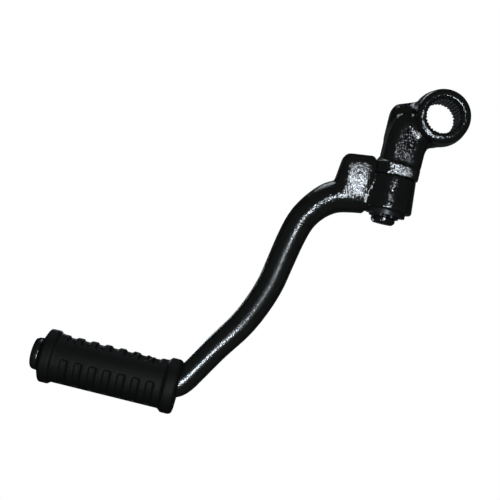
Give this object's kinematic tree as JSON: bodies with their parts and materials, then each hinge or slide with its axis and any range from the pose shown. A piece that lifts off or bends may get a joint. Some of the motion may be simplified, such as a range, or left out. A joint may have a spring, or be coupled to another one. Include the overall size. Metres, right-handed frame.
{
  "type": "kick start lever",
  "caption": "Folding kick start lever: splined eye on a short neck, arm that folds on a pivot pin beside it, S-bent round rod and ribbed rubber pedal sleeve.",
  "frame": {"origin": "centre of the splined eye, half way along its bore", "axes": "+Z along the bore towards the engine, +Y along the pivot pin from the arm to the eye, -X towards the folded pedal"},
  "size_m": [0.1803, 0.1865, 0.0272],
  "materials": {
    "black_paint": "gloss black over a slightly grainy forging",
    "black_rubber": "matt black moulded rubber",
    "bright_steel": "plain hardened steel, oiled",
    "black_steel": "gloss black"
  },
  "bodies": {
    "knuckle": {"knuckle": "black_paint", "retaining_washer": "black_steel", "circlip": "black_steel"},
    "arm": {"arm": "black_paint", "pedal_rubber": "black_rubber", "detent_spring": "bright_steel"},
    "detent_ball": {"detent_ball": "bright_steel"}
  },
  "joints": [
    {"name": "arm_fold", "type": "hinge", "parent": "knuckle", "child": "arm", "pos_m": [-0.015, -0.04, -0.003], "axis": [0, -1, 0], "range_deg": [0, 90]},
    {"name": "ball_slide", "type": "slide", "parent": "arm", "child": "detent_ball", "axis": [1, 0, 0], "range_m": [0, 0.0006], "stiffness_N_per_m": 2000, "deforming": ["detent_spring"]}
  ]
}
